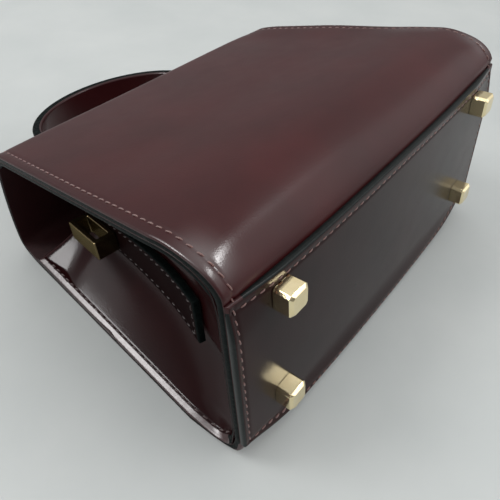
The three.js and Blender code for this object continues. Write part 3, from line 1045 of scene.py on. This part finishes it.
def stitch_mesh(name, runs, slot, finish=thread):
    """One object of thread for several runs, each a line of points with the leather's normals there."""
    rings, sides, look = STITCH.rings, STITCH.sides, STITCH.look
    t = np.linspace(-1, 1, rings)[:, None]
    up = STITCH.lift - (STITCH.lift + STITCH.dive) * np.abs(t) ** STITCH.dive_power
    thick = STITCH.radius * (1 - STITCH.taper * t * t)
    turn = np.linspace(0, 2 * math.pi, sides, endpoint=False)[:, None]
    points = []
    for line, normals in runs:
        length = reach_of(line)[-1]
        count = max(int(length / STITCH.pitch), 1)
        middles = (np.arange(count) + 0.5) * length / count
        ahead = unit(along(line, middles + look) - along(line, middles - look))
        normal = unit(along(line, middles, np.broadcast_to(normals, line.shape)))
        side = unit(np.cross(normal, ahead))
        lean = ahead * math.cos(STITCH.slant) + side * math.sin(STITCH.slant)
        for k, centre in enumerate(along(line, middles)):
            spots = centre + lean[k] * (t * STITCH.length / 2) + normal[k] * up
            circle = np.cos(turn) * side[k] + np.sin(turn) * normal[k]
            points.append((spots[:, None] + thick[:, None] * circle).reshape(-1, 3))
    size = rings * sides
    faces = [[n * size + v for v in face] for n in range(len(points)) for face in stitch_faces(rings, sides)]
    dress(make_object(name, np.concatenate(points), faces, (finish,)), slot)


def wall_stitches():
    """Lines of stitches by both side edges of the back and front walls."""
    for name, (grid, _) in WALL_GRIDS.items():
        normals = -grid_normals(grid)
        level = pulled(name, grid) - GROOVE.depth
        face = grid + normals * level[..., None]
        runs = []
        for at in (PANEL_STITCH_IN, WIDTH - PANEL_STITCH_IN):
            j = int(np.argmin(np.abs(WALL_COLUMNS - at)))
            keep = ~under_base(grid)[:, j]
            runs.append((face[keep, j], normals[keep, j]))
        stitch_mesh(f"stitches_{name}", runs, "leather")


def base_stitches():
    """Stitches by the base's two ends and along its two long edges, and one across each rear corner."""
    x_end = WIDTH / 2 - BASE_END_STITCH_IN
    level = GROOVE.depth
    lines = []
    for x in (-x_end, x_end):
        back = BASE_HALF_DEPTH - BASE_RUN.end_in
        front = -BASE_HALF_DEPTH - bow_at(2 * x / WIDTH) + BASE_RUN.end_in
        z = np.linspace(back, front, BASE_RUN.end_points)
        lines.append(points_at(x, level + base_dip(BASE_END_STITCH_IN, BASE_HALF_DEPTH - z), z))
    x = np.linspace(-x_end + BASE_RUN.edge_in, x_end - BASE_RUN.edge_in, BASE_RUN.edge_points)
    dip = base_dip(WIDTH / 2 - np.abs(x), BASE_STITCH_IN)
    lines.append(points_at(x, level + dip, BASE_HALF_DEPTH - BASE_STITCH_IN))
    lines.append(points_at(x, level, -BASE_HALF_DEPTH - bow_at(2 * x / WIDTH) + BASE_FRONT_STITCH_IN))
    runs = [(line, (0, -1, 0)) for line in lines]
    for end in (-1, 1):
        runs.append((np.array(CORNER_STITCH.line) * (end, 1, 1), CORNER_STITCH.normal))
    stitch_mesh("stitches_base", runs, "leather")


def seam_stitches(name, side):
    """The side seams' stitches as they show on the side wall's turned-out edge."""
    y = np.linspace(SEAM_RUN.low, SEAM_RUN.high, SEAM_RUN.points)
    x = side * (half_width(y) - SEAM_STITCH_IN)
    runs = []
    for line, sign in zip(flange_lines(), (-1, 1)):
        z = z_at(line, y)
        runs.append((points_at(x, y, z), sign * points_at(0, -np.gradient(z, y), 1)))
    stitch_mesh(f"stitches_seam_{name}", runs, "leather", seam_thread_painted_shade)


def tab_stitches(name, side):
    """Stitches round the two long edges and the lower end of a tab."""
    line = tab_line()
    rows = np.linspace(TAB_STITCH_IN, reach_of(line)[-1] - TAB_RUN.top_in, TAB_RUN.points)
    y, out = along(line, rows).T
    half = tab_width(y) / 2 - TAB_STITCH_IN
    normals = points_at(side, -np.gradient(out, y), 0)
    x = side * (out - GROOVE.depth)
    low = points_at(x[0], y[0], np.linspace(-half[0], half[0], TAB_RUN.low_points))
    runs = [(points_at(x, y, half), normals), (points_at(x, y, -half), normals), (low, normals[0])]
    stitch_mesh(f"stitches_tab_{name}", runs, "edged_leather", tab_thread_painted_shade)


def handle_stitches():
    grid, _ = handle_grid()
    normals = grid_normals(grid)
    runs = []
    for at in (HANDLE_STITCH_IN, HANDLE.width - HANDLE_STITCH_IN):
        j = int(np.argmin(np.abs(HANDLE_COLUMNS - at)))
        line = grid[HANDLE_RUN, j] - normals[HANDLE_RUN, j] * GROOVE.depth
        runs.append((line, normals[HANDLE_RUN, j]))
    stitch_mesh("stitches_handle", runs, "edged_leather")


# Pieces

wall_skin("back")
wall_skin("front")
base_skin()
for side_name, side_sign in (("left", -1), ("right", 1)):
    gusset_skin(side_name, side_sign)
    tab_skin(side_name, side_sign)
    strap_loop(side_name, side_sign)
    tab_stitches(side_name, side_sign)
    seam_stitches(side_name, side_sign)
feet()
handle_skin()
wall_stitches()
base_stitches()
handle_stitches()
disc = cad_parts["closure_disc"]
disc.data.materials.clear()
disc.data.materials.append(gold)


# Floor, light and camera, in metres

FLOOR = Sizes(half=3.0, below=0.0002)

# Brightness of the room by the height of a direction, and how much more comes from the bright side
SKY = [(0.0, (0.23, 0.233, 0.235)), (1.0, (1.18, 1.18, 1.17)), (0.14, (0.23, 0.23, 0.233)),
       (0.40, (0.54, 0.54, 0.54)), (0.70, (0.82, 0.82, 0.815))]
BRIGHT_SIDE = (-0.45, 0.89, 0)
SIDE_SHARE = 0.15
GLOW = Sizes(toward=(0.585, -0.749, 0.309), edge=0.74, gain=4.2)
LIT_PLACE = (-0.08, 0, 0.03)


def floor():
    half = FLOOR.half
    corners = [(-half, -half, 0), (half, -half, 0), (half, half, 0), (-half, half, 0)]
    mesh = bpy.data.meshes.new("floor")
    mesh.from_pydata(corners, [], [(0, 1, 2, 3)])
    material, tree, shader, place = new_material("pale_floor")
    clouds = noise(tree, place, scale=14, detail=5)
    fill(tree, shader, {
        "Base Color": ramp(tree, clouds, [(0.3, (0.54, 0.57, 0.565)), (0.7, (0.595, 0.62, 0.612))]),
        "Roughness": 0.42,
        "Specular IOR Level": 0.3,
    })
    mesh.materials.append(material)
    piece = bpy.data.objects.new("floor", mesh)
    bpy.context.scene.collection.objects.link(piece)
    piece.location.z = -FLOOR.below


def direction_share(tree, place, toward, edge, low, high):
    """A factor that rises softly from low to high for directions nearer to a given one."""
    near = add_node(tree, "VectorMath", {0: place, 1: toward}, operation="DOT_PRODUCT")
    sockets = {"Value": near.outputs["Value"], "From Min": edge, "To Min": low, "To Max": high}
    return add_node(tree, "MapRange", sockets, interpolation_type="SMOOTHSTEP").outputs["Result"]


def studio_world():
    """Soft room light, dimmer towards the horizon and on one side, with a glow low on another side."""
    world = bpy.data.worlds.new("studio")
    bpy.context.scene.world = world
    world.use_nodes = True
    tree = world.node_tree
    place = add_node(tree, "TexCoord", {}).outputs["Generated"]
    height = add_node(tree, "SeparateXYZ", {"Vector": place}).outputs["Z"]
    side = direction_share(tree, place, BRIGHT_SIDE, -1, 1 - SIDE_SHARE, 1 + SIDE_SHARE)
    glow = direction_share(tree, place, GLOW.toward, GLOW.edge, 1, GLOW.gain)
    both = add_node(tree, "Math", {0: side, 1: glow}, operation="MULTIPLY").outputs["Value"]
    fill(tree, tree.nodes["Background"], {"Color": ramp(tree, height, SKY), "Strength": both})


def area_light(name, place, target, size, power, gloss_only=True):
    """A soft round light towards a target; one for gloss only shows just in polished surfaces."""
    light = bpy.data.lights.new(name, "AREA")
    light.shape = "DISK"
    light.size = size
    light.energy = power
    lamp = bpy.data.objects.new(name, light)
    lamp.visible_diffuse = not gloss_only
    lamp.location = place
    lamp.rotation_mode = "QUATERNION"
    lamp.rotation_quaternion = (Vector(target) - Vector(place)).to_track_quat("-Z", "Y")
    bpy.context.scene.collection.objects.link(lamp)


def photo_camera():
    data = bpy.data.cameras.new("photo_camera")
    data.sensor_width = CAMERA.sensor
    data.lens = CAMERA.focal_px * CAMERA.sensor / CAMERA.frame_px
    data.clip_start = 0.01
    data.clip_end = 20
    turn = Vector(CAMERA.turn)
    rows = np.array(Matrix.Rotation(turn.length, 3, turn.normalized()))
    right, down, ahead = (to_row(rows @ FIT_TO_BAG) - to_row((0, 0, 0))) / MM
    camera = bpy.data.objects.new("photo_camera", data)
    turned = Matrix((right, -down, -ahead)).transposed().to_4x4()
    turned.translation = Vector(CAMERA.place) * MM
    camera.matrix_world = turned
    bpy.context.scene.collection.objects.link(camera)
    bpy.context.scene.camera = camera


floor()
studio_world()
area_light("window", (-0.70, 0.85, 1.48), LIT_PLACE, size=0.6, power=6, gloss_only=False)
area_light("window_shine", (-0.963, 0.824, 1.08), LIT_PLACE, size=0.72, power=30)
area_light("ceiling_lamp", (0.711, -0.488, 1.24), (-0.09, -0.08, 0.09), size=0.32, power=4)
area_light("low_window", (-1.016, 1.185, 0.577), LIT_PLACE, size=0.5, power=1.2)
photo_camera()
bpy.context.scene.view_settings.view_transform = "Standard"
